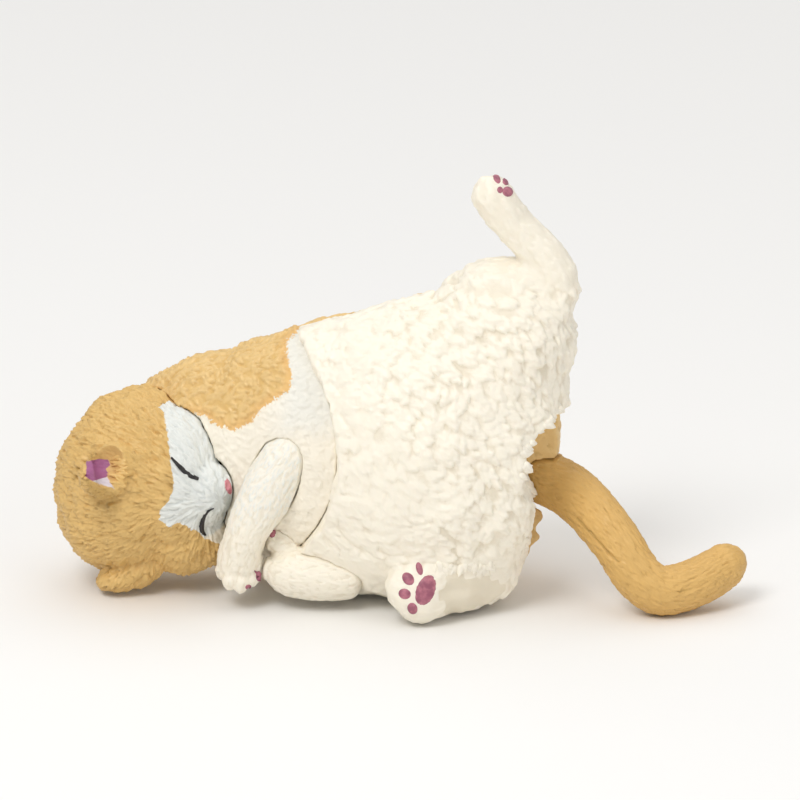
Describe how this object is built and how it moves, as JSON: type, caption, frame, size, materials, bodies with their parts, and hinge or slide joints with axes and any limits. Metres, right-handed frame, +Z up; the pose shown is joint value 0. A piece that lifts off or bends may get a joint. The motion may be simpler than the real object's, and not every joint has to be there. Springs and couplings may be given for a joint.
{
  "type": "cat figurine",
  "caption": "Sleeping cat figurine lying on its side with one hind leg raised, moulded as plug-together pieces with a turning head, foreleg and tail.",
  "frame": {"origin": "on the flat under the belly that the figurine rests on, under the middle of its body", "axes": "+X from the head to the tail, -Y out of the belly, +Z up, with the cat lying on its right side"},
  "size_m": [0.0902, 0.0307, 0.0574],
  "materials": {
    "head": "painted PVC, ginger fur with a white face",
    "neck_pin": "plain black ABS",
    "chest": "painted PVC, cream with a ginger back",
    "left_foreleg": "painted PVC, cream",
    "right_foreleg": "painted PVC, cream",
    "belly_shell": "painted PVC, cream with rose pads",
    "back_shell": "painted PVC, ginger",
    "tail": "painted PVC, ginger"
  },
  "bodies": {
    "torso": {"chest": "chest", "neck_pin": "neck_pin", "right_foreleg": "right_foreleg", "belly_shell": "belly_shell", "back_shell": "back_shell"},
    "head": {"head": "head"},
    "left_foreleg": {"left_foreleg": "left_foreleg"},
    "tail": {"tail": "tail"}
  },
  "joints": [
    {"name": "head_turn", "type": "hinge", "parent": "torso", "child": "head", "pos_m": [-0.0278, 0.004, 0.015], "axis": [1, 0, 0], "range_deg": [-3, 3]},
    {"name": "left_foreleg_swing", "type": "hinge", "parent": "torso", "child": "left_foreleg", "pos_m": [-0.0187, -0.0062, 0.0206], "axis": [0, 1, 0], "range_deg": [-2, 2]},
    {"name": "tail_turn", "type": "hinge", "parent": "torso", "child": "tail", "pos_m": [0.0144, 0.0034, 0.0146], "axis": [-0.7695, 0.5996, 0.2198], "range_deg": [-10, 25]}
  ]
}
